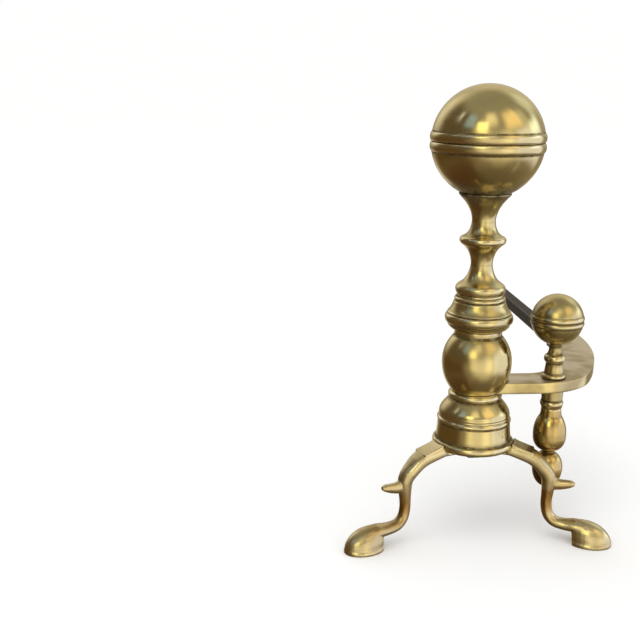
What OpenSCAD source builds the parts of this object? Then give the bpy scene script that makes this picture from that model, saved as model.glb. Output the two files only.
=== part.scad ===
// Ball-top andiron, right-hand one of a mirrored pair, in cast and turned brass on an iron billet bar.
// +Z is up and the front faces -Y. The origin is the bottom centre of the bounding box.
// The pieces are drawn round the column's axis and moved to the origin at the end.

/* [Column] */
// Height of the base ring's underside above the floor
base_z = 82.8; // [76:0.2:100]
// Radius of the base ring
ring_r = 36.4; // [35:0.1:42]
// Height of the base ring
ring_h = 7.5; // [6:0.5:9]
// Radius of the plinth drum at its foot
drum_foot_r = 33.4; // [32:0.1:34.5]
// Radius of the plinth drum at its top
drum_top_r = 32; // [31:0.1:33]
// Height of the plinth, ring and bead included
plinth_h = 27.9; // [22:0.1:34]
// Height of the bead on top of the drum
drum_bead_h = 4.5; // [3:0.5:6]
// Height of the base bell
bell_h = 23.3; // [22:0.1:32]
// Radius of the small torus at the base bell's top
bell_torus_r = 23.9; // [23:0.1:26]
// Height of the bulb, its upper neck included
bulb_h = 56; // [54:0.5:64]
// Radius of the bulb at its widest
bulb_r = 30.7; // [29:0.1:34]
// Height of the bulb's widest place above its foot
bulb_mid_z = 26.4; // [25:0.1:28]
// Radius of the neck between the bulb and the collar
bulb_neck_r = 20.9; // [19:0.1:23]
// Height of the bell-shaped collar
collar_h = 32; // [31:0.5:40]
// Radius of the collar's thick ring
collar_ring_r = 29.8; // [28.5:0.1:33]
// Radius of the collar where the finial neck stands on it
collar_top_r = 20.2; // [19.5:0.1:21]

/* [Finial] */
// Height of the finial neck
neck_h = 87.4; // [84:0.2:100]
// Radius of the finial neck's lower ring
neck_ring_r = 21.8; // [21:0.1:24]
// Least radius of the lower spool
spool_r = 9.4; // [9:0.1:12]
// Radius of the sharp disc between the spools
disc_r = 20; // [18:0.1:24]
// Least radius of the upper spool
throat_r = 10.2; // [9.5:0.1:13]
// Radius of the neck's lip under the ball
lip_r = 22.4; // [18.4:0.1:23.5]
// Radius of the ball
ball_r = 47.7; // [44:0.1:54]
// Wall of the ball's spun halves
ball_wall = 3; // [2.5:0.1:4]
// Height of each of the two beads round the ball
band_h = 8; // [6:0.5:10]
// How far the beads stand out of the ball
band_proud = 0.9; // [0.5:0.1:1.5]
// Height of the rabbet that centres the ball's halves
rabbet_h = 2.5; // [2:0.1:4]

/* [Legs] */
// Angle by which each front leg is turned forward from sideways
leg_angle = 20.5; // [15:0.5:30]
// Reach of the foot's tip from the column's axis
foot_reach = 127; // [124:1:140]
// Length of the sole from heel to tip
sole_len = 33.5; // [32:0.5:40]
// Greatest half width of the sole
sole_half_w = 13.6; // [12:0.1:16]
// Height of the slipper foot's dome
foot_h = 22; // [20:0.5:24]
// Height of the thin edge round the sole
sole_edge_h = 3; // [2:0.5:4]
// Distance of the ankle from the column's axis
ankle_s = 68.5; // [66:0.5:72]
// Thickness of the ankle
ankle_t = 10; // [9:0.5:13]
// Thickness of the arm beside the base ring
arm_t = 10; // [9:0.5:14]
// Width of the arm beside the base ring
arm_w = 21; // [18:0.5:24]
// How far the arms stand up into the notches of the base ring
arm_rise = 4; // [2:0.5:4.5]
// Distance of the spur's tip from the column's axis
spur_s = 92; // [88:0.5:96]
// Height of the spur's tip above the floor
spur_z = 55.5; // [53:0.5:58]
// Length of the planed panel on the arm
panel_len = 18; // [14:0.5:20]
// How far the planed panel stands out of the arm
panel_proud = 0.5; // [0.4:0.1:1.2]
// Thickness of the lug where both legs lap over each other
lug_t = 8; // [7:0.5:10]
// Radius of the lug's round end
lug_r = 16; // [14.5:0.5:18]

/* [Side bar] */
// Width of the flat bar
bar_w = 31; // [26:0.5:31]
// Thickness of the flat bar
bar_t = 10; // [8:0.5:11]
// Length of the bar's straight run from the column's axis
bar_run = 57; // [52:0.5:62]
// Outer radius of the first, tighter bend
bend_1_r = 60; // [50:1:70]
// Angle of the first bend
bend_1_angle = 60; // [55:1:65]
// Outer radius of the second, wider bend
bend_2_r = 257; // [230:1:280]
// Inner radius of the first bend
bend_inner_r = 25; // [20:1:29]
// Length of the straight tail behind the bends
bar_tail = 22; // [18:1:40]

/* [Log stop] */
// Distance of the log stop from the column's axis
stop_x = 70.5; // [66:0.5:76]
// Radius of the log stop's ball
stop_ball_r = 22.9; // [20:0.1:26]
// Height of each of the two beads round the stop's ball
stop_band_h = 4.6; // [3.5:0.1:5.5]
// Height of the log stop's stem
stem_h = 31.9; // [30:0.1:38]
// Radius of the stem's foot
stem_foot_r = 10.5; // [10:0.1:13]
// Least radius of the stem
stem_neck_r = 5.6; // [5.2:0.1:8]
// Radius of the seat under the stop's ball
stem_top_r = 7; // [6.5:0.1:9]
// Radius of the ring round the stem
stem_ring_r = 9.5; // [8.5:0.1:12]
// Height of the drop's collar
drop_collar_h = 17.5; // [15:0.5:20]
// Radius of the drop's collar
drop_collar_r = 10.4; // [10:0.1:12]
// Height of the drop's vase
vase_h = 41.5; // [38:0.5:46]
// Radius of the drop's vase
vase_r = 14.8; // [13:0.1:18]
// Height of the drop's onion-shaped end
onion_h = 35; // [32:0.5:40]
// Radius of the drop's onion-shaped end
onion_r = 13.7; // [12:0.1:17]

/* [Billet bar] */
// Side of the square iron billet bar
billet_w = 12.7; // [11:0.1:16]
// How far the billet bar's top stands above its lap, behind the side bar
billet_rise = 4; // [2:0.5:6]
// Length of the billet bar behind the flat lap
billet_len = 286; // [200:1:340]
// Length of the lap riveted under the side bar
lap_len = 38; // [36:1:46]
// Width of the lap
lap_w = 24; // [20:0.5:26]
// Thickness of the lap
lap_t = 6.5; // [5:0.5:9]
// Distance between the two rivets
rivet_pitch = 18; // [16:0.5:20]
// Distance of the rear leg from the billet bar's end
rear_inset = 12; // [10:0.5:16]
// Radius of the rear leg's round pad
pad_r = 15; // [12:0.5:20]
// Thickness of the pad's edge
pad_t = 4; // [3:0.5:6]
// Side of the rear leg's shank above the pad
shank_foot_w = 9.5; // [8:0.1:11]

/* [Rods and fastenings] */
// Radius of the column's tie rod
rod_r = 4.75; // [4:0.05:5]
// Radius of the log stop's rod
stop_rod_r = 3.2; // [2.8:0.05:3.4]
// Radius of the rivets' shanks
rivet_r = 3; // [2.5:0.1:3.2]
// Radius of the rear leg's tenon
tenon_r = 4; // [3.5:0.1:4.5]
// Height of the tenon's head, sunk flush into the billet bar
tenon_head_h = 1.2; // [0.8:0.1:1.3]
// Thickness of the washer under the legs
washer_t = 2; // [1.5:0.5:3]
// Radius of the washer
washer_r = 14; // [12:0.5:15.5]
// Thickness of the nut under the washer
nut_t = 4.5; // [4.5:0.5:8]
// Half the width across the nuts' corners
nut_r = 9.5; // [8.5:0.1:10.5]
// Thickness of the nut inside the ball
ball_nut_t = 6; // [5:0.5:8]
// How far the tie rod stands out of each nut
rod_end = 1.5; // [1:0.5:4]
// Wall of the hollow castings
wall = 4; // [3.5:0.1:5]
// Thickness of the flat webs that the tie rod passes through
web_t = 6; // [5:0.5:7]
// Radial clearance of rods, rivets and tenons in their holes
hole_gap = 0.15; // [0.1:0.05:0.3]
// Clearance of the flat bar in the bulb's notch and of the legs in and round the base ring
seat_gap = 0.2; // [0.1:0.05:0.3]

/* [Hidden] */
$fn = 72;

brass = [0.80, 0.68, 0.36];
warm_brass = [0.74, 0.58, 0.28];
iron = [0.16, 0.15, 0.15];

// Heights of the joints of the column, from the floor up
bell_z = base_z + plinth_h;
bar_z = bell_z + bell_h;
collar_z = bar_z + bulb_h;
neck_z = collar_z + collar_h;
ball_seat_z = neck_z + neck_h;
// Height of the ball's middle above its seat, to a hundredth
ball_rise = round(100 * sqrt(ball_r * ball_r - pow(lip_r - 0.9, 2))) / 100;
ball_seat_r = sqrt(ball_r * ball_r - ball_rise * ball_rise);
ball_z = ball_seat_z + ball_rise;

// Heights of the log stop and of the drop under it
bar_top_z = bar_z + bar_t;
stop_seat_z = bar_top_z + stem_h;
stop_ball_z = stop_seat_z + sqrt(stop_ball_r * stop_ball_r - stem_top_r * stem_top_r);
drop_z = bar_z - drop_collar_h;
drop_end_z = drop_z - vase_h - onion_h;

// Depth of the blind holes that the log stop's rod is screwed into
stop_ball_hole = 14;
drop_hole = 24;
hole_end = 1;

// Directions of the left and of the right leg, and the top of their lugs
leg_turns = [180 + leg_angle, -leg_angle];
lug_z = base_z + arm_rise;

// Tie rod, from under its lower nut to over the nut inside the ball
washer_z = lug_z - lug_t - washer_t;
nut_z = washer_z - nut_t;
ball_nut_z = ball_seat_z + web_t;
rod_z = nut_z - rod_end;
rod_len = ball_nut_z + ball_nut_t + rod_end - rod_z;

// ---- Curves ----

// Arc about c from angle a to angle b
function arc(c, r, a, b, n = 12) =
    [for (i = [0:n]) c + r * [cos(a + (b - a) * i / n), sin(a + (b - a) * i / n)]];

// Curve from a to c that leaves and arrives along the lines through b
function bow(a, b, c, n = 9) =
    [for (i = [0:n]) let (t = i / n) (1 - t) * (1 - t) * a + 2 * t * (1 - t) * b + t * t * c];

// Half-round bead on a turned profile, from height low to height high
function bead(r, proud, low, high, n = 10) =
    [for (i = [0:n]) [r + proud * sin(180 * i / n), low + (high - low) * (1 - cos(180 * i / n)) / 2]];

// Part of an ellipse on a turned profile, between two heights above its middle
function oval(r, half_h, mid, low, high, n = 12) =
    [for (i = [0:n]) let (z = low + (high - low) * i / n)
        [r * sqrt(1 - z * z / (half_h * half_h)), mid + z]];

// Turned piece with a through bore for the tie rod
module turned(profile, h) {
    difference() {
        rotate_extrude() polygon(concat([[0, 0]], profile, [[0, h]]));
        translate([0, 0, -1]) cylinder(r = rod_r + hole_gap, h = h + 2);
    }
}

// ---- Column ----

module base_plinth() {
    drum_end = plinth_h - drum_bead_h;
    ring_neck_r = drum_foot_r - 0.2;
    outer = concat(
        [[ring_r - 2.4, 0]],
        bead(ring_r - 1.6, 1.6, 0.6, ring_h - 0.6),
        [[ring_neck_r, ring_h], [drum_foot_r, ring_h + 0.8], [drum_top_r, drum_end - 0.6]],
        [[drum_top_r - 0.7, drum_end]],
        bead(drum_top_r - 0.7, 1.6, drum_end, plinth_h - 0.6),
        [[drum_top_r - 0.2, plinth_h]]);
    color(brass) to_frame(base_z) difference() {
        turned(outer, plinth_h);
        translate([0, 0, -1]) cylinder(r = drum_top_r - wall, h = plinth_h - web_t + 1);
        // Notches that seat the arms of the legs
        for (turn = leg_turns) rotate([0, 0, turn])
            translate([0, -arm_w / 2 - seat_gap, -1])
                cube([ring_r + 1, arm_w + 2 * seat_gap, arm_rise + 1]);
    }
}

module base_bell() {
    foot_r = drum_top_r - 0.2;
    torus_z = bell_h - 6.4;
    top_r = bell_torus_r - 1.6;
    outer = concat(
        [[foot_r, 0], [foot_r, 1.2]],
        bead(foot_r - 0.8, 0.6, 1.6, 4.2, 6),
        bow([foot_r - 0.6, 4.6], [foot_r - 1.2, torus_z - 8.5], [top_r + 0.6, torus_z - 0.5]),
        bead(bell_torus_r - 2, 2, torus_z, torus_z + 5.6),
        [[top_r - 0.6, torus_z + 6], [top_r - 0.6, bell_h]]);
    color(brass) to_frame(bell_z) difference() {
        turned(outer, bell_h);
        translate([0, 0, -1]) rotate_extrude() polygon(concat(
            [[0, 0], [foot_r - wall, 0]],
            bow([foot_r - wall, torus_z - 12], [foot_r - wall - 0.6, torus_z - 9],
                [top_r - wall, torus_z - 1]),
            [[top_r - wall, bell_h - web_t + 1], [0, bell_h - web_t + 1]]));
    }
}

// Half heights of the ellipses under and over the bulb's widest place
bulb_low_h = bulb_mid_z * 1.364;
bulb_high_h = bulb_h - bulb_mid_z + 3.9;

module bulb() {
    top_z = bulb_high_h * sqrt(1 - pow(bulb_neck_r / bulb_r, 2));
    inner_r = bulb_r - wall;
    inner_top = min(top_z, bulb_h - bulb_mid_z - web_t);
    outer = concat(
        oval(bulb_r, bulb_low_h, bulb_mid_z, -bulb_mid_z, 0),
        oval(bulb_r, bulb_high_h, bulb_mid_z, 1, top_z),
        [[bulb_neck_r, bulb_h]]);
    color(brass) to_frame(bar_z) difference() {
        turned(outer, bulb_h);
        rotate_extrude() polygon(concat(
            [[0, -1], [bar_w / 2 + 3 * seat_gap, -1], [bar_w / 2 + 3 * seat_gap, 4]],
            oval(inner_r, bulb_low_h - wall, bulb_mid_z, 8 - bulb_mid_z, 0, 8),
            oval(inner_r, bulb_high_h - wall, bulb_mid_z, 1, inner_top, 8),
            [[0, bulb_mid_z + inner_top]]));
        translate([0, -bar_w / 2 - seat_gap, -1])
            cube([bulb_r + 1, bar_w + 2 * seat_gap, bar_t + seat_gap + 1]);
    }
}

module bell_collar() {
    ring_z = 6.2;
    ring_end = ring_z + 8.4;
    bead_z = collar_h - 6;
    skirt_top_r = collar_top_r + 2.2;
    outer = concat(
        bow([bulb_neck_r, 0], [collar_ring_r - 3.5, 1], [collar_ring_r - 2.2, ring_z - 0.4]),
        bead(collar_ring_r - 2.5, 2.5, ring_z, ring_end),
        [[collar_ring_r - 2.9, ring_end + 0.3]],
        bow([collar_ring_r - 1.6, ring_end + 0.8], [skirt_top_r + 2.2, ring_end + 3.2],
            [skirt_top_r, bead_z - 0.5]),
        bead(collar_top_r + 1, 1.1, bead_z, bead_z + 3.3, 8),
        [[collar_top_r, bead_z + 3.9], [collar_top_r, collar_h]]);
    color(brass) to_frame(collar_z) difference() {
        turned(outer, collar_h);
        translate([0, 0, web_t]) rotate_extrude() polygon([
            [0, 0],
            [collar_ring_r - 2 * wall, 3],
            [collar_ring_r - 2 * wall, ring_z],
            [collar_top_r - wall, ring_end + 4],
            [collar_top_r - wall, collar_h - 2 * web_t],
            [0, collar_h - 2 * web_t]]);
    }
}

module finial_neck() {
    disc_z = neck_h - 40.4;
    spool_z = 25.6;
    throat_z = neck_h - 24.5;
    outer = concat(
        bow([collar_top_r, 0], [neck_ring_r - 0.3, 0.8], [neck_ring_r, 4.2], 6),
        bow([neck_ring_r, 5], [neck_ring_r - 0.5, 7.6], [neck_ring_r - 3.4, 9.2], 6),
        bow([neck_ring_r - 4, 9.6], [spool_r + 1.4, 14], [spool_r, spool_z]),
        bow([spool_r, spool_z + 1], [spool_r + 0.6, disc_z - 9], [disc_r - 1.3, disc_z - 3.2]),
        bow([disc_r - 0.4, disc_z - 2], [disc_r + 0.6, disc_z], [disc_r - 0.5, disc_z + 1.8], 6),
        bow([disc_r - 1.2, disc_z + 2.6], [throat_r + 0.8, disc_z + 5], [throat_r, throat_z]),
        bow([throat_r, throat_z + 1], [throat_r + 0.2, throat_z + 11], [lip_r - 0.4, neck_h - 1.8]),
        [[lip_r, neck_h - 1.2], [lip_r, neck_h]]);
    color(brass) to_frame(neck_z) turned(outer, neck_h);
}

// Radius from which the ball's beads stand out
band_r = ball_r - 0.6;
// Radius of the rabbet between the ball's halves
rabbet_r = band_r - ball_wall / 2;
// Angle on the ball at which its beads end
band_end_angle = asin((band_h + 0.4) / ball_r);

module ball_lower_half() {
    seat = ball_rise;
    outer = concat(
        arc([0, 0], ball_r, -acos(ball_seat_r / ball_r), -band_end_angle, 24),
        bead(band_r, band_proud + 0.6, -band_h, 0));
    inner_r = ball_r - ball_wall;
    color(brass) to_frame(ball_z) difference() {
        union() {
            rotate_extrude() polygon(concat([[0, -seat]], outer, [[0, 0]]));
            cylinder(r = rabbet_r - hole_gap / 2, h = rabbet_h);
        }
        rotate_extrude() polygon(concat(
            [[0, web_t - seat]],
            arc([0, 0], inner_r, -asin((seat - web_t) / inner_r), 0, 20),
            [[rabbet_r - ball_wall / 2, rabbet_h + 1], [0, rabbet_h + 1]]));
        translate([0, 0, -seat - 1]) cylinder(r = rod_r + hole_gap, h = web_t + 2);
    }
}

module ball_upper_half() {
    inner_r = ball_r - ball_wall;
    outer = concat(
        bead(band_r, band_proud + 0.6, 0, band_h),
        arc([0, 0], ball_r, band_end_angle, 90, 26));
    color(brass) to_frame(ball_z) difference() {
        rotate_extrude() polygon(concat([[0, 0]], outer));
        rotate_extrude() polygon(concat(
            [[0, -1], [rabbet_r, -1], [rabbet_r, rabbet_h + hole_gap]],
            arc([0, 0], inner_r, asin((rabbet_h + hole_gap) / inner_r), 90, 20)));
    }
}

// ---- Tie rod ----

module nut(r, h) {
    difference() {
        cylinder(r = r, h = h, $fn = 6);
        translate([0, 0, -1]) cylinder(r = rod_r + hole_gap, h = h + 2);
    }
}

module ball_nut() {
    color(iron) to_frame(ball_nut_z) nut(nut_r, ball_nut_t);
}

module tie_rod() {
    color(iron) to_frame(rod_z) cylinder(r = rod_r, h = rod_len);
}

module tie_washer() {
    color(iron) to_frame(washer_z) difference() {
        cylinder(r = washer_r, h = washer_t);
        translate([0, 0, -1]) cylinder(r = rod_r + hole_gap, h = washer_t + 2);
    }
}

module tie_nut() {
    color(iron) to_frame(nut_z) nut(nut_r, nut_t);
}

// ---- Legs ----
// A leg is drawn in its own plane: s runs outwards from the column's axis, z runs up, and the
// width runs across. Each station of a sweep is [s, z, thickness, width, squareness].

heel_s = foot_reach - sole_len;
arm_z = lug_z - arm_t / 2;
// How much thinner the arm gets under the base ring
arm_taper = 1.6;

arm_stations = [
    [ring_r - 4, arm_z + arm_taper / 2, arm_t - arm_taper, arm_w, 4],
    [ring_r + 4, arm_z - 0.8, arm_t, arm_w - 0.6, 4],
    [54, base_z - 6.5, arm_t + arm_taper, arm_w - 2.5, 3.4],
    [62.5, base_z - 14.2, 12, 17, 2.6],
    [ankle_s - 0.2, 60.5, 12.8, 14.5, 2.2],
    [ankle_s + 0.6, 52, ankle_t + 2, 13, 2],
    [ankle_s, 42, ankle_t + 0.4, 11.5, 1.8],
    [ankle_s - 0.2, 33.5, ankle_t, 11, 1.8],
    [ankle_s + 1.7, 24.3, ankle_t, 11, 1.9],
    [ankle_s + 7.5, 18, ankle_t, 12, 2],
    [heel_s - 8, foot_h - 6, ankle_t + 0.6, 14, 2],
    [heel_s + 1, foot_h - 6, ankle_t + 1.6, 17, 2],
    [heel_s + 9, foot_h - 7, ankle_t + 1.6, 18, 2]];

spur_stations = [
    [ankle_s + 1, spur_z - 0.5, 15.5, 9.5, 2],
    [ankle_s + 7.5, spur_z - 2.2, 10.8, 9, 2.2],
    [spur_s - 8.5, spur_z - 1.6, 8.4, 8, 2.4],
    [spur_s - 3, spur_z - 0.6, 6.2, 6.8, 2.4],
    [spur_s, spur_z - 0.2, 2.8, 4.4, 2.2]];

// Smooth curve through four stations, at t from 0 to 1 between the middle two
function through(a, b, c, d, t) =
    0.5 * (2 * b + t * (c - a) + t * t * (2 * a - 5 * b + 4 * c - d)
           + t * t * t * (3 * b - a - 3 * c + d));

function smooth(list, steps) = concat(
    [for (i = [0:len(list) - 2], j = [0:steps - 1])
        through(list[max(i - 1, 0)], list[i], list[i + 1], list[min(i + 2, len(list) - 1)], j / steps)],
    [list[len(list) - 1]]);

function power(v, squareness) = sign(v) * pow(abs(v), 2 / squareness);

// Ring of points round one station, square to the sweep
function station_ring(list, i, sides) =
    let (here = list[i], next = list[min(i + 1, len(list) - 1)], last = list[max(i - 1, 0)],
         along = atan2(next[1] - last[1], next[0] - last[0]))
    [for (k = [0:sides - 1])
        let (a = 360 * k / sides, up = here[2] / 2 * power(sin(a), here[4]))
        [here[0] - up * sin(along), here[3] / 2 * power(cos(a), here[4]), here[1] + up * cos(along)]];

// Closed solid through rings of equally many points
module loft(rings) {
    n = len(rings[0]);
    last = len(rings) - 1;
    points = [for (ring = rings, p = ring) p];
    walls = [for (i = [0:last - 1], k = [0:n - 1], half = [0, 1])
        let (a = i * n + k, b = i * n + (k + 1) % n)
        half == 0 ? [a, b + n, b] : [a, a + n, b + n]];
    ends = [[for (k = [0:n - 1]) k], [for (k = [0:n - 1]) last * n + n - 1 - k]];
    polyhedron(points = points, faces = concat(walls, ends), convexity = 6);
}

module sweep(stations, steps, sides) {
    list = smooth(stations, steps);
    loft([for (i = [0:len(list) - 1]) station_ring(list, i, sides)]);
}

// Plan and height of the slipper foot at a distance from the column's axis
foot_mid_s = heel_s + 14.5;
foot_plan_a = foot_reach - foot_mid_s;
foot_heel_a = 18.6;
foot_top_s = heel_s + 6.5;
function foot_half_w(s) =
    let (u = (s - foot_mid_s) / (s > foot_mid_s ? foot_plan_a : foot_heel_a))
    sole_half_w * sqrt(max(1 - u * u, 0.002));
function foot_top(s) =
    let (u = max(s - foot_top_s, 0) / (foot_reach + 0.5 - foot_top_s))
    max(foot_h * sqrt(max(1 - u * u, 0)), sole_edge_h + 0.6);

// Section of the slipper foot: flat sole, thin edge and domed top
foot_dome_sides = 12;
function foot_ring(s) =
    let (w = foot_half_w(s), h = foot_top(s), inset = min(0.9, w / 3),
         lean = 2.4 * max(1 - (s - heel_s) / 10, 0) / foot_h)
    concat(
        [[s, w, 0], [s - lean * sole_edge_h, w, sole_edge_h]],
        [for (k = [0:foot_dome_sides])
            let (a = 180 * k / foot_dome_sides,
                 z = sole_edge_h + 0.3 + (h - sole_edge_h - 0.3) * pow(sin(a), 0.9))
            [s - lean * z, (w - inset) * cos(a), z]],
        [[s - lean * sole_edge_h, -w, sole_edge_h], [s, -w, 0]]);

foot_steps = 14;
module slipper_foot() {
    // The sections crowd towards the tip, where the outline turns fastest
    loft([for (i = [0:foot_steps]) foot_ring(heel_s + sole_len * sin(90 * i / foot_steps))]);
}

// Planed panel on top of the arm, from the base ring outwards
module planed_panel() {
    low_z = arm_z;
    top_z = arm_z + arm_t / 2 + panel_proud;
    drop = 4.4;
    s0 = ring_r - 2;
    s1 = ring_r + panel_len;
    translate([0, arm_w / 2 - 1.6, 0]) rotate([90, 0, 0]) linear_extrude(arm_w - 3.2)
        polygon(concat(
            [[s0, low_z]],
            bow([s0, top_z + 3], [s0 + 5, top_z + 0.4], [s0 + 8, top_z - 0.6], 5),
            [[s1, top_z - drop], [s1 - 0.6, top_z - drop - 3]]));
}

// Leg in its plane, cut to fit under and round the base ring, without its lug
module leg_body() {
    difference() {
        union() {
            sweep(arm_stations, 3, 20);
            sweep(spur_stations, 2, 12);
            slipper_foot();
            planed_panel();
        }
        translate([0, 0, lug_z]) cylinder(r = ring_r + seat_gap, h = plinth_h);
    }
}

// Half-lapped lug: upper half for one leg, lower half for the other
module lug(upper) {
    half_t = lug_t / 2;
    low = lug_z - (upper ? half_t : lug_t);
    translate([0, 0, low]) {
        cylinder(r = lug_r, h = half_t);
        translate([0, -arm_w / 2 + 1, 0]) cube([ring_r - 3, arm_w - 2, half_t]);
    }
    // Full height outside the lap, where the other leg's lug can't reach
    translate([lug_r + 1, -arm_w / 2 + 1, lug_z - lug_t]) cube([ring_r - lug_r - 4, arm_w - 2, lug_t]);
}

module leg(turn, upper) {
    color(warm_brass) to_frame(0) difference() {
        rotate([0, 0, turn]) union() {
            leg_body();
            lug(upper);
        }
        translate([0, 0, lug_z - lug_t - 1]) cylinder(r = rod_r + hole_gap, h = lug_t + 2);
    }
}

module leg_left() {
    leg(leg_turns[0], false);
}

module leg_right() {
    leg(leg_turns[1], true);
}

// ---- Side bar ----

// Corners of the bar's outline, worked out along its outer and its inner edge
bend_1_end = [bar_run + bend_1_r * sin(bend_1_angle), -bar_w / 2 + bend_1_r * (1 - cos(bend_1_angle))];
bend_2_c = bend_1_end + bend_2_r * [-sin(bend_1_angle), cos(bend_1_angle)];
bar_outer_x = bend_2_c[0] + bend_2_r;
bar_end_y = bend_2_c[1] + bar_tail;
bar_end_x = bar_outer_x - bar_w / 2;
bend_inner_end = [bar_run - 5 + bend_inner_r * sin(bend_1_angle),
                  bar_w / 2 + bend_inner_r * (1 - cos(bend_1_angle))];
inner_end = [bar_outer_x - bar_w, bend_2_c[1]];
// Where the inner edge's tangents at both its ends meet
inner_knee = [inner_end[0],
              bend_inner_end[1] + (inner_end[0] - bend_inner_end[0]) * tan(bend_1_angle)];

bar_outline = concat(
    arc([0, 0], bar_w / 2, 90, 270, 24),
    arc([bar_run, bend_1_r - bar_w / 2], bend_1_r, -90, bend_1_angle - 90, 14),
    arc(bend_2_c, bend_2_r, bend_1_angle - 90, 0, 12),
    [[bar_outer_x, bar_end_y], [bar_outer_x - bar_w, bar_end_y]],
    bow(inner_end, inner_knee, bend_inner_end, 14),
    arc([bar_run - 5, bend_inner_r + bar_w / 2], bend_inner_r, bend_1_angle - 90, -90, 10));

rivet_ys = [bar_end_y - lap_len / 2 - rivet_pitch / 2, bar_end_y - lap_len / 2 + rivet_pitch / 2];

module side_bar() {
    color(brass) to_frame(bar_z) difference() {
        linear_extrude(bar_t) polygon(bar_outline);
        translate([0, 0, -1]) cylinder(r = rod_r + hole_gap, h = bar_t + 2);
        translate([stop_x, 0, -1]) cylinder(r = stop_rod_r + hole_gap, h = bar_t + 2);
        for (y = rivet_ys) translate([bar_end_x, y, -1]) cylinder(r = rivet_r + hole_gap, h = bar_t + 2);
    }
}

// ---- Log stop and drop ----

// Turned piece on the log stop's axis with a hole for the stop's rod, from low to high
module stop_turned(profile, low, high) {
    translate([stop_x, 0, 0]) difference() {
        rotate_extrude() polygon(profile);
        translate([0, 0, low]) cylinder(r = stop_rod_r + hole_gap, h = high - low);
    }
}

module stop_stem() {
    ring_z = 15;
    ring_end = 21.5;
    outer = concat(
        [[0, 0], [stem_foot_r - 1, 0]],
        bead(stem_foot_r - 1.4, 1.4, 0.4, 4, 8),
        [[stem_foot_r - 1.9, 4.6], [stem_ring_r - 2, ring_z - 1.2], [stem_ring_r - 2, ring_z]],
        bead(stem_ring_r - 1.8, 1.8, ring_z, ring_end, 8),
        bow([stem_ring_r - 2.2, ring_end + 0.4], [stem_neck_r, ring_end + 2.5],
            [stem_neck_r, stem_h - 4], 6),
        bow([stem_neck_r, stem_h - 3.4], [stem_neck_r + 0.3, stem_h - 1], [stem_top_r, stem_h], 5),
        [[0, stem_h]]);
    color(brass) to_frame(bar_top_z) stop_turned(outer, -1, stem_h + 1);
}

module stop_ball() {
    seat = stop_ball_z - stop_seat_z;
    band_angle = asin((stop_band_h + 0.2) / stop_ball_r);
    outer = concat(
        [[0, -seat]],
        arc([0, 0], stop_ball_r, -acos(stem_top_r / stop_ball_r), -band_angle, 16),
        bead(stop_ball_r - 0.7, 1.2, -stop_band_h, 0, 8),
        bead(stop_ball_r - 0.7, 1.2, 0.01, stop_band_h, 8),
        arc([0, 0], stop_ball_r, band_angle, 90, 18));
    color(brass) to_frame(stop_ball_z) stop_turned(outer, -seat - 1, stop_ball_hole - seat);
}

module stop_rod() {
    low = drop_z - drop_hole + hole_end;
    high = stop_seat_z + stop_ball_hole - hole_end;
    color(iron) to_frame(low) translate([stop_x, 0, 0]) cylinder(r = stop_rod_r, h = high - low);
}

module drop_collar() {
    outer = concat(
        [[0, 0]],
        bow([drop_collar_r - 1.6, 0], [drop_collar_r - 0.8, 0.6], [drop_collar_r - 0.8, 1.6], 4),
        bead(drop_collar_r - 1, 1, 2, 6.4, 8),
        [[drop_collar_r - 1.1, 7], [drop_collar_r - 0.6, drop_collar_h], [0, drop_collar_h]]);
    color(brass) to_frame(drop_z) stop_turned(outer, -1, drop_collar_h + 1);
}

module drop_finial() {
    // Heights are counted from the drop's lowest point
    vase_z = onion_h;
    top = onion_h + vase_h;
    shoulder_r = drop_collar_r - 1.4;
    outer = concat(
        [[0, 0]],
        bow([4, 1], [onion_r - 0.2, 5], [onion_r, 20]),
        bow([onion_r, 20.6], [onion_r - 1, onion_h - 4], [5, onion_h - 1]),
        [[4.8, vase_z], [5.2, vase_z + 0.6]],
        bow([5.6, vase_z + 1], [vase_r + 0.4, vase_z + 3.4], [vase_r, vase_z + 16]),
        bow([vase_r, vase_z + 18], [vase_r - 0.2, vase_z + 26], [shoulder_r + 1.6, top - 9], 8),
        bow([shoulder_r + 1.2, top - 8.4], [shoulder_r, top - 6], [shoulder_r, top - 2], 5),
        [[shoulder_r, top], [0, top]]);
    color(warm_brass) to_frame(drop_end_z) stop_turned(outer, top - drop_hole, top + 1);
}

// ---- Billet bar and rear leg ----

rear_y = bar_end_y + billet_len - rear_inset;
billet_end_y = bar_end_y + billet_len;
billet_top_z = bar_z + billet_rise;
billet_low_z = billet_top_z - billet_w;

// Countersunk head of the rear leg's tenon, widened by a gap and drawn on above its top to cut its seat
module tenon_head(gap, above) {
    foot_r = tenon_r + gap;
    top_r = foot_r + tenon_head_h;
    rotate_extrude() polygon(concat(
        [[0, -tenon_head_h], [foot_r, -tenon_head_h], [top_r, 0]],
        above > 0 ? [[top_r, above]] : [],
        [[0, above]]));
}

module billet_bar() {
    lap_y = bar_end_y - lap_len;
    shoulder = 14;
    color(iron) to_frame(bar_z) difference() {
        translate([bar_end_x, 0, 0]) union() {
            translate([0, 0, -lap_t]) linear_extrude(lap_t) polygon(concat(
                arc([0, lap_y + lap_w / 2], lap_w / 2, 180, 360, 16),
                [[lap_w / 2, bar_end_y], [billet_w / 2, bar_end_y + shoulder]],
                [[-billet_w / 2, bar_end_y + shoulder], [-lap_w / 2, bar_end_y]]));
            translate([-billet_w / 2, bar_end_y + seat_gap, billet_rise - billet_w])
                cube([billet_w, billet_len - seat_gap, billet_w]);
        }
        for (y = rivet_ys)
            translate([bar_end_x, y, -lap_t - 1]) cylinder(r = rivet_r + hole_gap, h = lap_t + 2);
        translate([bar_end_x, rear_y, billet_rise]) {
            translate([0, 0, -billet_w - 1]) cylinder(r = tenon_r + hole_gap, h = billet_w + 2);
            tenon_head(hole_gap, 1);
        }
    }
}

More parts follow.
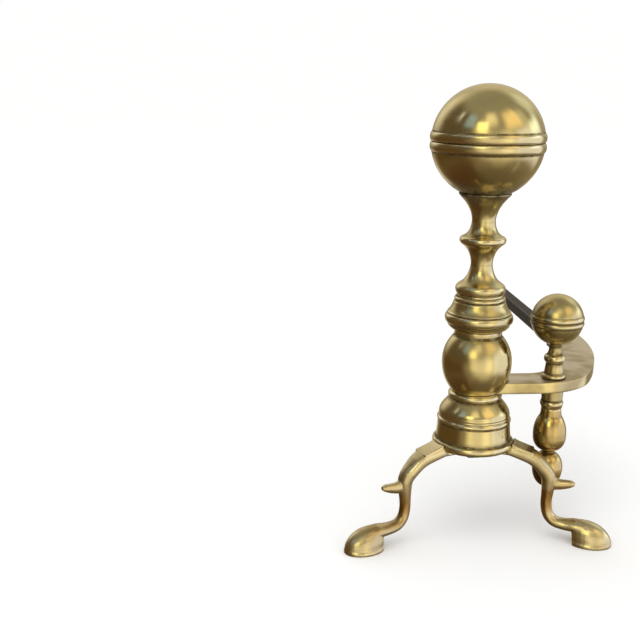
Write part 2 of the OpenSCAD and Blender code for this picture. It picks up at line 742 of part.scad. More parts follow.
// Domed rivet head with its flat side at z = 0
module rivet_head(r, h) {
    dome = [for (i = [0:8]) [r * cos(90 * i / 8), h * sin(90 * i / 8)]];
    rotate_extrude() polygon(concat([[0, 0]], dome));
}

module bar_rivets() {
    head_r = rivet_r + 2.4;
    head_h = 2.4;
    color(iron) to_frame(bar_z) for (y = rivet_ys) translate([bar_end_x, y, 0]) {
        translate([0, 0, -lap_t]) cylinder(r = rivet_r, h = lap_t + bar_t);
        translate([0, 0, bar_t]) rivet_head(head_r, head_h);
        translate([0, 0, -lap_t]) mirror([0, 0, 1]) rivet_head(head_r, head_h);
    }
}

module rear_leg() {
    pad_cone = 5;
    color(iron) to_frame(0) translate([bar_end_x, rear_y, 0]) {
        rotate_extrude() polygon([
            [0, 0], [pad_r - 1, 0], [pad_r, 1], [pad_r, pad_t],
            [shank_foot_w / 2 + 1, pad_t + pad_cone], [0, pad_t + pad_cone]]);
        intersection() {
            shank_side(pad_t, billet_low_z);
            rotate([0, 0, 90]) shank_side(pad_t, billet_low_z);
        }
        translate([0, 0, billet_low_z]) cylinder(r = tenon_r, h = billet_w - tenon_head_h);
        translate([0, 0, billet_top_z]) tenon_head(0, 0);
    }
}

// One taper of the square shank, wide enough across to be cut by the other
module shank_side(low, high) {
    translate([0, billet_w, 0]) rotate([90, 0, 0]) linear_extrude(2 * billet_w) polygon([
        [-shank_foot_w / 2, low], [shank_foot_w / 2, low],
        [billet_w / 2, high], [-billet_w / 2, high]]);
}

// ---- Frame ----

// Plan of the foot's edge, turned to its place, for the bounding box
foot_edge = [for (i = [0:foot_steps])
    let (s = heel_s + sole_len * sin(90 * i / foot_steps), w = foot_half_w(s))
    [[s * cos(leg_angle) + w * sin(leg_angle), w * cos(leg_angle) - s * sin(leg_angle)],
     [s * cos(leg_angle) - w * sin(leg_angle), -w * cos(leg_angle) - s * sin(leg_angle)]]];
foot_x = max([for (pair = foot_edge, p = pair) p[0]]);
foot_y = min([for (pair = foot_edge, p = pair) p[1]]);
mid_x = (max(bar_outer_x, foot_x) - foot_x) / 2;
mid_y = (billet_end_y + foot_y) / 2;

module to_frame(z) {
    translate([-mid_x, -mid_y, z]) children();
}

base_plinth();
base_bell();
bulb();
bell_collar();
finial_neck();
ball_lower_half();
ball_upper_half();
ball_nut();
tie_rod();
tie_washer();
tie_nut();
leg_left();
leg_right();
side_bar();
stop_stem();
stop_ball();
stop_rod();
drop_collar();
drop_finial();
billet_bar();
bar_rivets();
rear_leg();
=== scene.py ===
import math
from functools import partial

import bmesh
import bpy
import numpy as np
from bpy.props import FloatProperty, FloatVectorProperty, IntProperty, PointerProperty
from mathutils import Matrix, Vector
from mathutils.bvhtree import BVHTree
from mathutils.geometry import delaunay_2d_cdt


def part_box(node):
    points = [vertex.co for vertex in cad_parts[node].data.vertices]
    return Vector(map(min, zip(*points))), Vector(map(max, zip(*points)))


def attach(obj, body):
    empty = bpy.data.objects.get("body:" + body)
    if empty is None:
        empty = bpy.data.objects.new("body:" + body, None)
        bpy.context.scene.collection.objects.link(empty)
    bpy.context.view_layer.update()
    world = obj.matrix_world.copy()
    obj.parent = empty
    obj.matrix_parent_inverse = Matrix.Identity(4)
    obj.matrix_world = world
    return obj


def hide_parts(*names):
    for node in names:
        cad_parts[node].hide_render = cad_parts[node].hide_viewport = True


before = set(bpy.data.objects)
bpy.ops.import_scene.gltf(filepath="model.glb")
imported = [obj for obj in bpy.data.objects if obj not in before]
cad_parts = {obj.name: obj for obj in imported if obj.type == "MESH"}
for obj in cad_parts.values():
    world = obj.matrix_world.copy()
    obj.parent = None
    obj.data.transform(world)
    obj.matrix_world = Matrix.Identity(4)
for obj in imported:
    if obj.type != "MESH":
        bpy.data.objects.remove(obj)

bl_info = {
    "name": "Ball-top andiron",
    "version": (1, 0, 0),
    "blender": (4, 5, 0),
    "location": "View3D > Sidebar > Andiron",
    "description": "Dresses the andiron in turned brass, cast brass and forged iron",
    "category": "Add Mesh",
}

MM = 0.001
BODY = "root"

# Turned nodes that stand on one another, from low to high
COLUMN = ["base_plinth", "base_bell", "bulb", "bell_collar", "finial_neck",
          "ball_lower_half", "ball_upper_half"]
BALL = COLUMN[5:]
LOG_STOP = ["stop_stem", "stop_ball"]
DROP = ["drop_finial", "drop_collar"]
LEGS = ["leg_left", "leg_right"]
FORGED = ["billet_bar", "rear_leg"]
FASTENINGS = ["ball_nut", "tie_rod", "tie_washer", "tie_nut", "stop_rod", "bar_rivets"]

# Nodes whose surfaces meet each piece, so that dirt and painted shade gather where they touch
NEIGHBOURS = {
    "base_plinth": LEGS,
    "finial_neck": ["ball_lower_half"],
    "ball_lower_half": ["finial_neck"],
    "bulb": ["side_bar"],
    "stop_stem": ["side_bar"],
    "drop_collar": ["side_bar"],
    "leg_left": ["base_plinth"],
    "leg_right": ["base_plinth"],
    "side_bar": ["bulb", "stop_stem", "drop_collar", "billet_bar", "base_bell"],
    "billet_bar": ["side_bar", "rear_leg", "bar_rivets"],
    "rear_leg": ["billet_bar"],
}
# The dirt and painted shade at a joint: its reach in millimetres and its strength. The wide
# joints paint shade over the underside of the ball and the top of the neck under it
PLAIN_JOINT = (2.6, 1.0)
WIDE_SHADED_JOINTS = {"ball_lower_half": (28.0, 0.86), "finial_neck": (18.0, 0.78)}

# How turned nodes are read, in millimetres where nothing else is said
RING_CORNERS = 30  # a ring has at least this many corners
LEVEL_FACE = 0.03  # a face whose normal leans outward less than this is level
SAME_LEVEL = 0.011  # rings nearer in height than this are on one level
SAME_POINT = 0.03  # points nearer than this are one
TIP = 3  # an end thinner than this is a tip, a wider one is flat
RIM = 2.4  # how far a flat end is drawn in from its rim
FLAT_END = 2.0  # how much of that is left out where nodes are joined
ON_AXIS = 0.01  # an end nearer to the axis than this is on it
PAST_TOP = 0.02  # how far a node may reach past the foot of the next
STACK_STEP = 0.3  # spacing of the points of the joined line
CORNER = 24  # degrees of turn that make a corner anywhere
UNEVEN = 4  # a leg this many times its neighbour needs only as many degrees
NEAR_REACH, WIDE_REACH = 1.5, 5.0  # reaches over which bends are measured
# Painted shade: these bends darken the inside of the plinth's bore
BORE_SHADE_BENDS = (-0.2, -1.0)  # the bends that darken the bore of the plinth
BORE_LEAST = 20  # the hollow of the plinth is wider than this
SHARP_EDGE = 38  # degrees above which an edge stays sharp
# Skins: the two pulls of a pass of easing, the pull of a pass of reading, and the passes and
# gain that read each bend. Forgings have a coarser skin, which is eased less often.
EASE_PULLS, READ_PULL = (0.5, -0.53), 0.6
SKIN_BENDS = (("crease", 5, 1.4), ("hollow", 45, 2.2))
FORGED_GRAIN, FORGED_EASE = 1.2, 3
# The side bar, in millimetres: the steps and filed corners of its edge, the levels of its
# side, and the spacing of the points over its faces with their way from the rim
BAR_STEP, BAR_BEVEL, BAR_LEVELS = 1.0, 0.8, 5
BAR_GRID, BAR_MARGIN, BAR_CLEAR = 2.2, 0.5, 0.8

# Heights over which a painted dark reflection turns the legs brown above the feet and clears
# again below the arms, and how far clouds shift them, in metres
PAINTED_SHANK_FROM, PAINTED_SHANK_TO, PAINTED_SHANK_SHIFT = (0.020, 0.034), (0.046, 0.062), 0.008
# Depth of the relief that each finish bumps, in metres
TURNED_RELIEF, CAST_RELIEF, FORGED_RELIEF = 0.03 * MM, 0.12 * MM, 0.5 * MM
# Iron: its grey mottle, its rubbed edges, and the soot and painted shade in its corners
IRON_GREY, IRON_EDGE, SOOT_AND_SHADE = (0.085, 0.078, 0.072), (0.19, 0.175, 0.16), (0.016, 0.012, 0.010)

# The photograph's view: degrees turned, tipped and rolled, the lens in millimetres, and its
# place from the foot of the column, in metres
VIEW_TURN, VIEW_TILT, VIEW_ROLL, VIEW_LENS = 4.87, 14.14, 0.67, 56.35
VIEW_PLACE = (-0.2106, -0.8356, 0.4104)
# The soft lamp: its place and the point it aims at, from the foot of the column, in metres,
# and its width in degrees
LAMP_PLACE, LAMP_AIM, LAMP_WIDTH = (-0.5, -0.7, 1.9), (0.0, 0.0, 0.1), 50


# -------- settings

ColourProperty = partial(FloatVectorProperty, subtype="COLOR", size=3, min=0, max=1)
LengthProperty = partial(FloatProperty, subtype="DISTANCE", unit="LENGTH")


class BrassSettings(bpy.types.PropertyGroup):
    """Colours and polish of the brass"""
    turned: ColourProperty(
        name="Turned brass", description="Colour of the turned brass",
        default=(0.76, 0.645, 0.33))
    cast: ColourProperty(
        name="Cast brass", description="Colour of the legs' cast brass",
        default=(0.84, 0.73, 0.45))
    drop: ColourProperty(
        name="Drop brass", description="Colour of the drop's browner brass",
        default=(0.66, 0.49, 0.20))
    # The shanks' colour is a painted dark reflection of the room
    shank: ColourProperty(
        name="Shanks", description="Colour of the legs' shanks",
        default=(0.48, 0.285, 0.09))
    bar: ColourProperty(
        name="Satin brass", description="Colour of the side bar's filed faces",
        default=(0.78, 0.70, 0.56))
    dull: ColourProperty(
        name="Tarnish", description="Colour of the brass where it has dulled",
        default=(0.48, 0.38, 0.20))
    patina: ColourProperty(
        name="Groove patina", description="Colour of the dark brown in grooves",
        default=(0.070, 0.043, 0.015))
    bright: ColourProperty(
        name="Worn crest", description="Colour of the rubbed crests",
        default=(0.84, 0.75, 0.50))
    roughness: FloatProperty(
        name="Roughness", description="Roughness of the polished brass",
        default=0.14, min=0.05, max=0.6)


class IronSettings(bpy.types.PropertyGroup):
    """Colours and finish of the forged iron"""
    scale: ColourProperty(
        name="Forge scale", description="Colour of the blackened iron",
        default=(0.040, 0.036, 0.034))
    rust: ColourProperty(
        name="Rust", description="Colour of the rust in the pits",
        default=(0.105, 0.042, 0.018))
    roughness: FloatProperty(
        name="Roughness", description="Roughness of the blackened iron",
        default=0.52, min=0.2, max=0.9)


class TurningSettings(bpy.types.PropertyGroup):
    """How finely the turned pieces are cut"""
    sides: IntProperty(
        name="Sides", description="Number of sides round a turned piece",
        default=144, min=48, max=256)
    step: LengthProperty(
        name="Ring spacing", description="Distance between rings",
        default=0.6 * MM, min=0.3 * MM, max=2 * MM)
    wear: IntProperty(
        name="Edge wear", description="How often the outline's corners are eased",
        default=2, min=0, max=8)


class CastingSettings(bpy.types.PropertyGroup):
    """How the castings and forgings are skinned"""
    grain: LengthProperty(
        name="Skin size", description="Size of the skin's cells",
        default=0.65 * MM, min=0.4 * MM, max=2 * MM)
    ease: IntProperty(
        name="Easing", description="How often the skin is smoothed",
        default=14, min=0, max=30)


class StageSettings(bpy.types.PropertyGroup):
    """Floor, light and room"""
    floor: ColourProperty(
        name="Floor", description="Colour of the plain floor", default=(0.90, 0.90, 0.895))
    backdrop: ColourProperty(
        name="Backdrop", description="Colour of the backdrop and its light",
        default=(1.0, 1.0, 0.995))
    floor_radius: LengthProperty(
        name="Floor radius", description="Radius of the round floor",
        default=6.0, min=1, max=20)
    lamp: FloatProperty(
        name="Lamp", description="Strength of the soft light from above",
        default=0.75, min=0, max=5)


# -------- node helpers

def add_node(tree, kind, inputs=None, **settings):
    """Adds a node, sets its properties, and links or fills its inputs."""
    node = tree.nodes.new(kind)
    for key, value in settings.items():
        setattr(node, key, value)
    for key, value in (inputs or {}).items():
        if isinstance(value, bpy.types.NodeSocket):
            tree.links.new(value, node.inputs[key])
        else:
            node.inputs[key].default_value = value
    return node


def combine(tree, operation, a, b=None, clamp=False):
    inputs = {0: a} if b is None else {0: a, 1: b}
    node = add_node(tree, "ShaderNodeMath", inputs, operation=operation, use_clamp=clamp)
    return node.outputs[0]


def times(tree, a, b, clamp=False):
    return combine(tree, "MULTIPLY", a, b, clamp)


def plus(tree, a, b, clamp=False):
    return combine(tree, "ADD", a, b, clamp)


def ramp(tree, value, low, high, bottom=0.0, top=1.0, smooth=True):
    """Rises from bottom to top while value goes from low to high."""
    return add_node(
        tree, "ShaderNodeMapRange",
        {"Value": value, "From Min": low, "From Max": high, "To Min": bottom, "To Max": top},
        interpolation_type="SMOOTHSTEP" if smooth else "LINEAR").outputs["Result"]


def blend_colour(tree, mask, a, b):
    return add_node(tree, "ShaderNodeMix", {0: mask, 6: a, 7: b}, data_type="RGBA").outputs[2]


def noise(tree, vector, scale, detail=3.0, roughness=0.5, distortion=0.0):
    return add_node(
        tree, "ShaderNodeTexNoise",
        {"Vector": vector, "Scale": scale, "Detail": detail, "Roughness": roughness,
         "Distortion": distortion}).outputs["Fac"]


def upward(tree, vector):
    """The vertical part of a place or direction."""
    return add_node(tree, "ShaderNodeSeparateXYZ", {0: vector}).outputs["Z"]


def facing(tree):
    return add_node(tree, "ShaderNodeNewGeometry").outputs["Normal"]


def rgba(colour):
    return (*colour, 1.0)


def shared(name, inputs, outputs):
    """Turns a function into one that gives a shader group, built at its first call.

    inputs gives each float socket's default, or None for a vector socket.
    """
    def group_of(build):
        def fetch():
            groups = bpy.data.node_groups
            if name in groups:
                return groups[name]
            group = groups.new(name, "ShaderNodeTree")
            for socket, default in inputs.items():
                kind = "NodeSocketVector" if default is None else "NodeSocketFloat"
                made = group.interface.new_socket(name=socket, in_out="INPUT", socket_type=kind)
                if default is not None:
                    made.default_value = default
            for socket in outputs:
                group.interface.new_socket(
                    name=socket, in_out="OUTPUT", socket_type="NodeSocketFloat")
            start = group.nodes.new("NodeGroupInput").outputs
            end = group.nodes.new("NodeGroupOutput").inputs
            for socket, value in build(group, start).items():
                group.links.new(value, end[socket])
            return group
        return fetch
    return group_of


@shared("Tarnish", {"Place": None, "Cloud size": 40.0, "Spot size": 120.0},
        ["Cloud", "Spots", "Mottle"])
def tarnish_group(group, start):
    """Cloudy dulling, a few small dark spots and a fine mottle."""
    large = noise(group, start["Place"], start["Cloud size"], 2.0, 0.5, 0.3)
    cells = add_node(group, "ShaderNodeTexVoronoi",
                     {"Vector": start["Place"], "Scale": start["Spot size"]})
    spot = ramp(group, cells.outputs["Distance"], 0.05, 0.24, 1.0, 0.0)
    chance = add_node(group, "ShaderNodeSeparateColor", {0: cells.outputs["Color"]}).outputs[0]
    fine = noise(group, start["Place"], times(group, start["Cloud size"], 6.0), 2.5, 0.5)
    return {"Cloud": ramp(group, large, 0.40, 0.68),
            "Spots": times(group, spot, ramp(group, chance, 0.90, 0.93)),
            "Mottle": ramp(group, fine, 0.30, 0.72)}


@shared("Turning marks", {"Place": None, "Rings per metre": 900.0}, ["Height", "Sheen"])
def turning_group(group, start):
    """Fine rings that the cutting tool leaves round a turned piece."""
    sway = times(group, noise(group, start["Place"], 30.0, 1.0), 0.0012)
    along = times(group, plus(group, upward(group, start["Place"]), sway),
                  start["Rings per metre"])
    lines, broad = (
        add_node(group, "ShaderNodeTexNoise", {"W": at, "Scale": 1.0, "Detail": detail},
                 noise_dimensions="1D").outputs["Fac"]
        for at, detail in ((along, 1.0), (times(group, along, 0.12), 2.0)))
    return {"Height": lines, "Sheen": ramp(group, broad, 0.3, 0.7)}


@shared("Grooves and crests", {"Crease": 0.0, "Hollow": 0.0, "Seam": 0.0, "Breakup": 0.5},
        ["Patina", "Crest"])
def wear_and_shade_group(group, start):
    """Dark patina in fine grooves, patina with painted shade in broad hollows, dirt with
    painted shade at joints, and bright rubbed crests.

    Crease and Hollow are bends in millimetres, Seam and Breakup shares from 0 to 1.
    """
    near = ramp(group, start["Crease"], -0.015, -0.21, 0.0, 0.90)
    # Broad hollows darken: patina with painted shade
    wide = ramp(group, start["Hollow"], -0.25, -2.0, 0.0, 0.62)
    dark = combine(group, "MAXIMUM", near, wide)
    # Joints darken with dirt and painted shade
    dark = combine(group, "MAXIMUM", dark, ramp(group, start["Seam"], 0.15, 0.85))
    crest = ramp(group, start["Crease"], 0.05, 0.32)
    return {"Patina": times(group, dark, ramp(group, start["Breakup"], 0.1, 0.9, 0.72, 1.08),
                            clamp=True),
            "Crest": times(group, crest, ramp(group, start["Breakup"], 0.2, 0.8, 0.8, 0.55))}


@shared("Forged skin", {"Place": None, "Blow size": 95.0}, ["Height", "Rust", "Mottle"])
def forging_group(group, start):
    """Hammer facets, pits and rust of forged iron."""
    blows = add_node(group, "ShaderNodeTexVoronoi",
                     {"Vector": start["Place"], "Scale": start["Blow size"],
                      "Smoothness": 0.8, "Randomness": 0.9}, feature="SMOOTH_F1")
    pits = noise(group, start["Place"], 900.0, 4.0, 0.7)
    patches = noise(group, start["Place"], 70.0, 6.0, 0.7, 0.6)
    return {"Height": plus(group, blows.outputs["Distance"], times(group, pits, 0.35)),
            "Rust": ramp(group, patches, 0.52, 0.72),
            "Mottle": ramp(group, pits, 0.3, 0.7)}


def use_group(tree, group, inputs):
    return add_node(tree, "ShaderNodeGroup", inputs, node_tree=group).outputs


def wear_and_shade_of(tree, breakup):
    """Grooves, crests and painted shade from what was measured on the piece's mesh."""
    kept = {socket: add_node(tree, "ShaderNodeAttribute",
                             attribute_name=socket.lower()).outputs["Fac"]
            for socket in ("Crease", "Hollow", "Seam")}
    return use_group(tree, wear_and_shade_group(), {**kept, "Breakup": breakup})


def start_material(name):
    """A new material, its tree, its shader and the object's own coordinates."""
    material = bpy.data.materials.new(name)
    material.use_nodes = True
    tree = material.node_tree
    tree.nodes.clear()
    shader = add_node(tree, "ShaderNodeBsdfPrincipled")
    add_node(tree, "ShaderNodeOutputMaterial", {0: shader.outputs[0]})
    place = add_node(tree, "ShaderNodeTexCoord").outputs["Object"]
    return material, tree, shader, place


def finish_metal(tree, shader, base, rough, metal, height, relief):
    """Links the colour, roughness, metal and relief of a metal to its shader."""
    bump = add_node(tree, "ShaderNodeBump",
                    {"Height": height, "Distance": relief})
    for socket, value in (("Base Color", base), ("Roughness", rough), ("Metallic", metal),
                          ("Normal", bump.outputs[0])):
        tree.links.new(value, shader.inputs[socket])


def make_brass(name, colour, turned=False, satin=0.0, grime_and_shade=0.9, softer=0.0,
               painted_shanks=False, shaded_side=None):
    """Polished, lightly aged brass. Turned pieces also carry the rings of the lathe.

    satin and softer add to the roughness, of filed faces and of all. grime_and_shade is how
    strong the patina is, together with the painted shade in hollows, in the bore and at
    joints. painted_shanks get a painted dark reflection that browns them, and the side that
    faces shaded_side, a level direction, gets painted shade.
    """
    if name in bpy.data.materials:
        return bpy.data.materials[name]
    look = bpy.context.scene.andiron_brass
    material, tree, shader, place = start_material(name)
    cloud_size, spot_size, dent_size = (26.0, 150.0, 45.0) if turned else (34.0, 240.0, 70.0)
    dulled = 0.42 if turned else 0.85 if satin else 0.55
    patina = rgba(look.patina)
    age = use_group(tree, tarnish_group(),
                    {"Place": place, "Cloud size": cloud_size, "Spot size": spot_size})
    wear = wear_and_shade_of(tree, age["Mottle"])
    skin = rgba(getattr(look, colour))
    # The shanks are browned as a painted dark reflection of the room
    if painted_shanks:
        rise = plus(tree, upward(tree, place),
                    ramp(tree, age["Cloud"], 0.0, 1.0, 0.0, PAINTED_SHANK_SHIFT))
        between = times(tree, ramp(tree, rise, *PAINTED_SHANK_FROM),
                        ramp(tree, rise, *PAINTED_SHANK_TO, 1.0, 0.0))
        skin = blend_colour(tree, between, skin, rgba(look.shank))
    if satin:
        # Level faces keep the file's satin, upright ones are polished
        level = combine(tree, "ABSOLUTE", upward(tree, facing(tree)))
        filed = ramp(tree, level, 0.35, 0.85)
        skin = blend_colour(tree, filed, rgba(look.turned), skin)
    base = blend_colour(tree, times(tree, age["Cloud"], dulled), skin, rgba(look.dull))
    base = blend_colour(tree, times(tree, age["Spots"], 0.55), base, patina)
    base = blend_colour(tree, wear["Crest"], base, rgba(look.bright))
    # Patina in grooves, with painted shade in hollows, in the plinth's bore and at joints
    base = blend_colour(tree, times(tree, wear["Patina"], grime_and_shade), base, patina)
    if shaded_side:
        # Painted shade: the side that faces the column has gone brown
        toward = add_node(tree, "ShaderNodeVectorMath",
                          {0: facing(tree), 1: (shaded_side[0], shaded_side[1], -0.25)},
                          operation="DOT_PRODUCT").outputs["Value"]
        brown = times(tree, ramp(tree, toward, 0.20, 0.95, 0.0, 0.80),
                      ramp(tree, age["Mottle"], 0.0, 1.0, 0.85, 1.0))
        base = blend_colour(tree, brown, base, patina)
    polish = look.roughness + softer
    rough = ramp(tree, age["Cloud"], 0.0, 1.0, polish, polish + 0.10)
    if satin:
        rough = plus(tree, rough, times(tree, filed, satin))
    rough = plus(tree, rough, times(tree, age["Mottle"], 0.05))
    rough = plus(tree, rough, times(tree, wear["Patina"], 0.28), clamp=True)
    dents = noise(tree, place, dent_size, 2.0)
    if turned:
        rings = use_group(tree, turning_group(), {"Place": place, "Rings per metre": 1500.0})
        height = plus(tree, times(tree, rings["Height"], 0.10),
                      times(tree, rings["Sheen"], 0.35))
        height = plus(tree, height, times(tree, dents, 1.8))
    else:
        height = plus(tree, times(tree, age["Mottle"], 0.12), dents)
    finish_metal(tree, shader, base, rough, ramp(tree, wear["Patina"], 0.0, 1.0, 1.0, 0.9),
                 height, TURNED_RELIEF if turned else CAST_RELIEF)
    return material


def forged_iron():
    """Blackened forged iron with a thin rust in the pits."""
    name = "forged iron"
    if name in bpy.data.materials:
        return bpy.data.materials[name]
    look = bpy.context.scene.andiron_iron
    material, tree, shader, place = start_material(name)
    skin = use_group(tree, forging_group(), {"Place": place})
    wear = wear_and_shade_of(tree, skin["Mottle"])
    base = rgba(look.scale)
    # Soot and painted shade in corners and at joints follow the patina mask
    for mask, share, colour in (
            (skin["Rust"], 0.7, look.rust), (skin["Mottle"], 0.35, IRON_GREY),
            (wear["Crest"], 0.7, IRON_EDGE), (wear["Patina"], 0.6, SOOT_AND_SHADE)):
        base = blend_colour(tree, times(tree, mask, share), base, rgba(colour))
    finish_metal(tree, shader, base, ramp(tree, skin["Rust"], 0.0, 1.0, look.roughness, 0.85),
                 ramp(tree, skin["Rust"], 0.0, 1.0, 0.75, 0.1), skin["Height"], FORGED_RELIEF)
    return material


def turned_brass():
    return make_brass("turned brass", "turned", turned=True)


def toward_column():
    """Level direction from the log stop to the column."""
    column, stop = Vector(axis_of("base_plinth")), Vector(axis_of("stop_stem"))
    return (column - stop).normalized()


# Turned brass with painted shade on the side that faces the column
def stop_brass():
    return make_brass("turned stop brass", "turned", turned=True, shaded_side=toward_column())


# -------- outlines of turned pieces

def axis_of(node):
    low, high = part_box(node)
    return (low.x + high.x) / 2, (low.y + high.y) / 2


def read(items, key, width, kind=float):
    """A row for each point, edge or corner of a mesh."""
    values = np.empty(len(items) * width, kind)
    items.foreach_get(key, values)
    return values.reshape(-1, width)


def triangles_of(node):
    """Corners and triangles of a node, as arrays."""
    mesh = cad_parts[node].data
    return read(mesh.vertices, "co", 3), read(mesh.loops, "vertex_index", 1, int).reshape(-1, 3)


def rough_outline(node, axis, outward=True):
    """Radius and height, in millimetres, of the rings of a node's outside or bore."""
    spots, faces = triangles_of(node)
    spots = (spots - (*axis, 0.0)) / MM
    a, b, c = (spots[faces[:, k]] for k in range(3))
    normal = np.cross(b - a, c - a)
    normal /= np.maximum(np.linalg.norm(normal, axis=1), 1e-12)[:, None]
    middle = ((a + b + c) / 3)[:, :2]
    middle /= np.maximum(np.linalg.norm(middle, axis=1), 1e-12)[:, None]
    leaning = (normal[:, :2] * middle).sum(1) * (1 if outward else -1)
    chosen = spots[faces[leaning > LEVEL_FACE].ravel()]
    rings = np.round(np.stack([chosen[:, 2], np.hypot(chosen[:, 0], chosen[:, 1])], 1), 2)
    rings, hits = np.unique(rings, axis=0, return_counts=True)
    rings = rings[hits >= RING_CORNERS]
    if len(rings) < 2:
        raise RuntimeError(node + " has no round outline")
    ordered, left = [], list(map(tuple, rings))
    while left:
        level = [p for p in left if p[0] - left[0][0] < SAME_LEVEL]
        last = ordered[-1][1] if ordered else level[0][1]
        ordered.append(min(level, key=lambda p: (p[0], abs(p[1] - last))))
        left.remove(ordered[-1])
    line = np.array([(r, z) for z, r in ordered])
    keep = [line[0]]
    for point in line[1:]:
        if np.hypot(*(point - keep[-1])) > SAME_POINT:
            keep.append(point)
    return np.array(keep)


def without_straights(line, slack=0.012):
    """Drops points that lie on the straight between their neighbours."""
    keep = [line[0]]
    for k in range(1, len(line) - 1):
        a, b, p = keep[-1], line[k + 1], line[k]
        run = b - a
        off = abs(run[0] * (p[1] - a[1]) - run[1] * (p[0] - a[0])) / max(np.hypot(*run), 1e-9)
        if off > slack:
            keep.append(p)
    keep.append(line[-1])
    return np.array(keep)


def through_points(run, spacing):
    """A smooth curve through the points, which keeps its ends."""
    if len(run) == 2:
        return run
    ends = np.vstack([2 * run[0] - run[1], run, 2 * run[-1] - run[-2]])
    made = [run[0]]
    for k in range(1, len(ends) - 2):
        p = ends[k - 1:k + 3]
        t = np.concatenate([[0], np.cumsum(np.sqrt(np.maximum(
            np.hypot(*np.diff(p, axis=0).T), 1e-6)))])
        count = max(2, int(np.ceil(np.hypot(*(p[2] - p[1])) / spacing)))
        u = np.linspace(t[1], t[2], count + 1)[1:, None]

        def mix(a, b, i, j):
            return (t[j] - u) / (t[j] - t[i]) * a + (u - t[i]) / (t[j] - t[i]) * b

        first, second, third = (mix(p[i], p[i + 1], i, i + 1) for i in range(3))
        made.extend(mix(mix(first, second, 0, 2), mix(second, third, 1, 3), 1, 2))
    return np.array(made)


def length_along(line):
    return np.concatenate([[0], np.cumsum(np.hypot(*np.diff(line, axis=0).T))])


def points_at(line, length, at):
    return np.stack([np.interp(at, length, line[:, k]) for k in (0, 1)], 1)


def even_steps(line, step):
    length = length_along(line)
    count = max(2, int(round(length[-1] / step)))
    return points_at(line, length, np.linspace(0, length[-1], count + 1))


def turn_between(before, after):
    return np.abs((after - before + np.pi) % (2 * np.pi) - np.pi)


def curved_runs(line, spacing):
    """Curves through the smooth runs of a line and keeps its corners."""
    legs = np.diff(line, axis=0)
    length = np.hypot(*legs.T)
    heading = np.arctan2(legs[:, 1], legs[:, 0])
    turn = turn_between(heading[:-1], heading[1:])
    ratio = np.maximum(length[1:] / length[:-1], length[:-1] / length[1:])
    corner = turn > math.radians(CORNER)
    corner |= (ratio > UNEVEN) & (turn > math.radians(UNEVEN))
    stops = [0] + [k + 1 for k in range(len(corner)) if corner[k]] + [len(line) - 1]
    made = [line[:1]]
    for a, b in zip(stops[:-1], stops[1:]):
        made.append(through_points(line[a:b + 1], spacing)[1:])
    return np.vstack(made)


def fine_outline(line, step, wear):
    """Smooth outline of a turned piece, its corners eased a little."""
    fine = even_steps(curved_runs(without_straights(line), step / 3), step)
    for _ in range(wear):
        fine[1:-1] = 0.25 * fine[:-2] + 0.5 * fine[1:-1] + 0.25 * fine[2:]
    return fine


def closed_ends(line, low, high):
    """Adds the flat ends of a piece, or its tips, to its outline."""
    first, last = ((end - RIM if end > TIP else 0.0) for end in (line[0][0], line[-1][0]))
    return np.vstack([[(first, low)], line, [(last, high)]])


def outward_of(run):
    """Directions of length 1 square to each row of a run, to its right."""
    outward = np.stack([run[:, 1], -run[:, 0]], 1)
    return outward / np.maximum(np.hypot(*outward.T), 1e-9)[:, None]


def bend_of(joined, reach):
    """Height in millimetres of each point over the chord between its neighbours at reach."""
    length = length_along(joined)
    before, after = (points_at(joined, length, length + way) for way in (-reach, reach))
    return ((joined - (before + after) / 2) * outward_of(after - before)).sum(1)


def stack_outlines(nodes, axis):
    """Fine outline of each turned node of a stack, with its bends read on the whole stack."""
    turning = bpy.context.scene.andiron_turning
    step = turning.step / MM
    outlines, lows = {}, []
    for node in nodes:
        low, high = (corner.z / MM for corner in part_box(node))
        lows.append(low)
        line = closed_ends(rough_outline(node, axis), low, high)
        outlines[node] = fine_outline(line, step, turning.wear)
    joined = []
    for line, top in zip(outlines.values(), lows[1:] + [math.inf]):
        start = line[0][0]
        inner = 0 if start < ON_AXIS else int(np.argmax(line[:, 0] > start + FLAT_END))
        joined.append(line[inner:][line[inner:, 1] <= top + PAST_TOP])
    joined = even_steps(np.vstack(joined), STACK_STEP)
    near, wide = bend_of(joined, NEAR_REACH), bend_of(joined, WIDE_REACH)
    made = {}
    for node, line in outlines.items():
        nearest = ((line[:, None, :] - joined[None, :, :]) ** 2).sum(2).argmin(1)
        made[node] = (line, near[nearest], wide[nearest])
    return made


# -------- meshes

def link(name, mesh):
    piece = bpy.data.objects.new(name, mesh)
    bpy.context.scene.collection.objects.link(piece)
    return piece


def store(mesh, name, values):
    layer = mesh.attributes.new(name, "FLOAT", "POINT")
    layer.data.foreach_set("value", np.asarray(values, np.float32))


def smooth_faces(mesh):
    """Smooths all edges but the sharp ones."""
    mesh.shade_smooth()
    mesh.set_sharp_from_angle(angle=math.radians(SHARP_EDGE))


def joint_dirt_and_shade(node, spots):
    """How near each point is to the pieces that touch this one, from 0 to 1, for dirt and
    painted shade.
    """
    reach, most = WIDE_SHADED_JOINTS.get(node, PLAIN_JOINT)
    reach *= MM
    near = np.zeros(len(spots))
    for other in NEIGHBOURS.get(node, []):
        corners, faces = triangles_of(other)
        tree = BVHTree.FromPolygons(corners.tolist(), faces.tolist())
        low, high = corners.min(0) - reach, corners.max(0) + reach
        inside = np.nonzero(((spots > low) & (spots < high)).all(1))[0]
        for k in inside:
            found = tree.find_nearest(Vector(spots[k]), reach)
            if found[3] is not None:
                near[k] = max(near[k], most * (1 - found[3] / reach))
    return near


